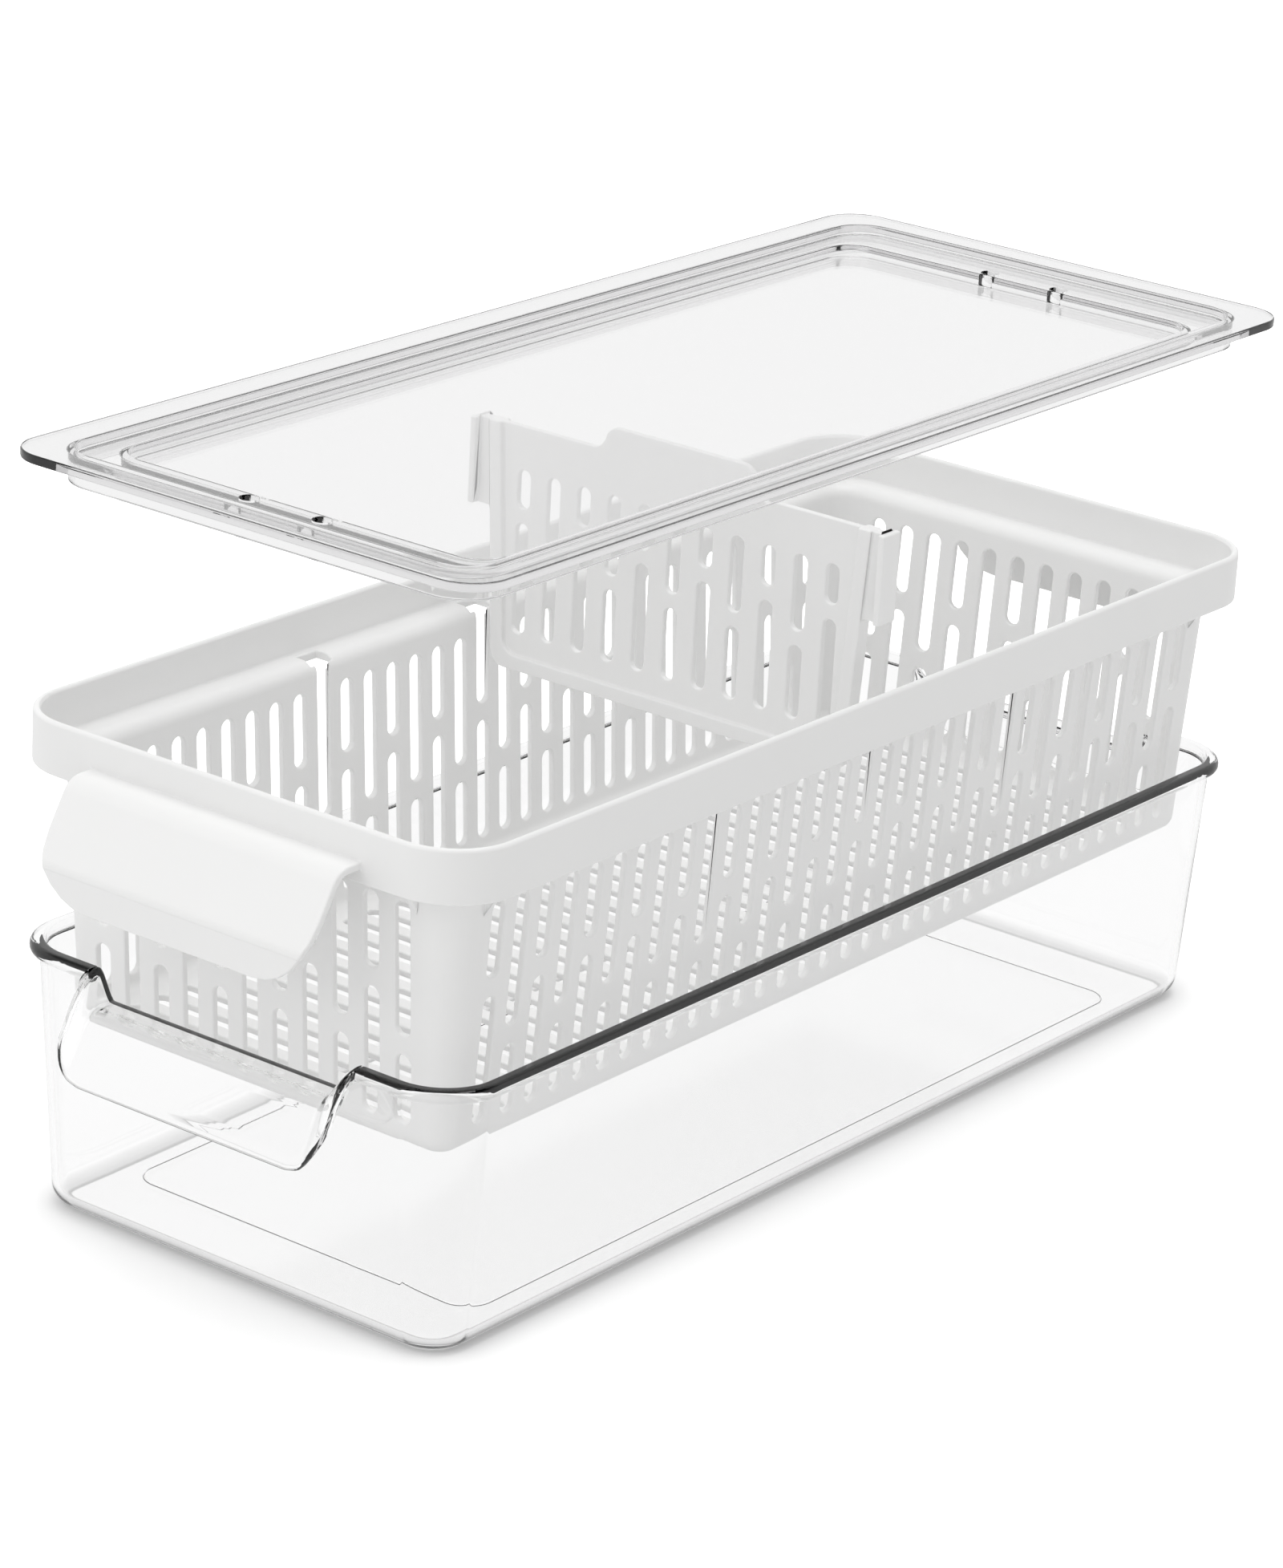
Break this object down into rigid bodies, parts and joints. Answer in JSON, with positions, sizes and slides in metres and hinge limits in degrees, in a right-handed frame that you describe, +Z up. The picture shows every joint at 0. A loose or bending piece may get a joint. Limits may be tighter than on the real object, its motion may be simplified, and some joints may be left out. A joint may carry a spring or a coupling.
{
  "type": "produce keeper",
  "caption": "Clear refrigerator bin with a slotted white drain basket, a lift-out divider and a clear lid, shown lifted apart as a stack.",
  "frame": {"origin": "centre of the bin's base, on the surface it stands on", "axes": "+Z up, +Y along the length with a pull tongue at each end, +X across the width"},
  "size_m": [0.1616, 0.416, 0.2162],
  "materials": {
    "clear_plastic": "clear, smooth and glossy",
    "white_plastic": "satin moulded white"
  },
  "bodies": {
    "bin": {"bin": "clear_plastic"},
    "basket": {"basket": "white_plastic"},
    "divider": {"divider": "white_plastic"},
    "lid": {"lid": "clear_plastic"}
  },
  "joints": [
    {"name": "basket_lift", "type": "slide", "parent": "bin", "child": "basket", "axis": [0, 0, 1], "range_m": [-0.051, 0.03]},
    {"name": "divider_lift", "type": "slide", "parent": "basket", "child": "divider", "axis": [0, 0, 1], "range_m": [-0.0585, 0.035]},
    {"name": "lid_lift", "type": "slide", "parent": "divider", "child": "lid", "axis": [0, 0, 1], "range_m": [-0.0105, 0.03]}
  ]
}
